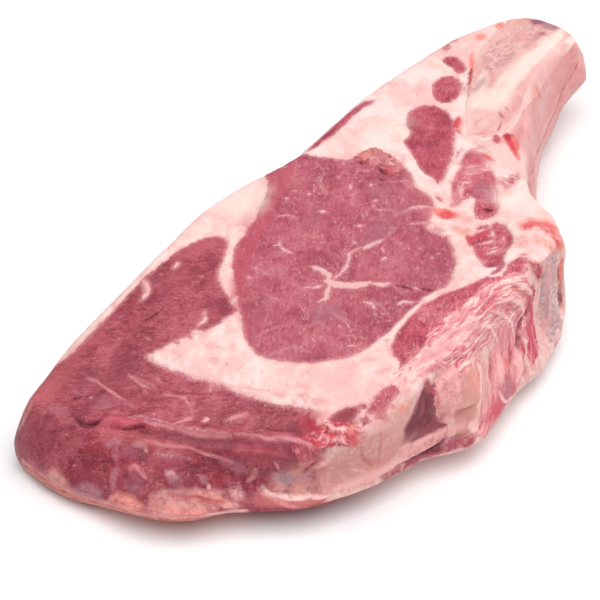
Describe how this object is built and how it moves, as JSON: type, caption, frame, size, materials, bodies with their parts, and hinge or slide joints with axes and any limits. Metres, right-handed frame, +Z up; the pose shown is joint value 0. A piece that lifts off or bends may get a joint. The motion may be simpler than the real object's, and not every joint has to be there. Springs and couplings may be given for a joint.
{
  "type": "beef rib chop",
  "caption": "Thick bone-in slice of raw beef rib: round eye muscle and a cap muscle tail in pale fat, with a sawn bone at one end.",
  "frame": {"origin": "middle of the footprint, at table height", "axes": "+X along the long axis from the tail to the sawn bone end, +Y towards the outer fat side, +Z up from the face it lies on"},
  "size_m": [0.304, 0.1264, 0.0479],
  "materials": {
    "red_muscle": "moist raw beef, faint fibre grain and fine white flecks",
    "dark_muscle": "moist darker raw beef with short slits along the fibres",
    "white_fat": "waxy, satin, with faint pink spots",
    "pink_fat": "moist, blood-tinged fat",
    "bone": "matt sawn bone, porous in the middle",
    "cartilage": "smooth, satin",
    "membrane": "thin moist skin over the bone's flank"
  },
  "bodies": {
    "root": {"feather_bone": "bone", "chine_bone": "bone", "cartilage_knob": "cartilage", "wall_muscle": "dark_muscle", "edge_fat": "pink_fat", "lower_muscle": "dark_muscle", "edge_muscle": "dark_muscle", "corner_muscle": "dark_muscle", "rim_muscle": "red_muscle", "cap_muscle": "dark_muscle", "eye_muscle": "red_muscle", "under_muscle": "red_muscle", "knuckle_muscle": "red_muscle", "shoulder_muscle": "red_muscle", "root_muscle": "red_muscle", "back_muscle_large": "red_muscle", "back_muscle_round": "red_muscle", "back_muscle_crescent": "red_muscle", "outer_muscle": "red_muscle", "flank_membrane": "membrane", "fat_body": "white_fat"}
  },
  "joints": []
}
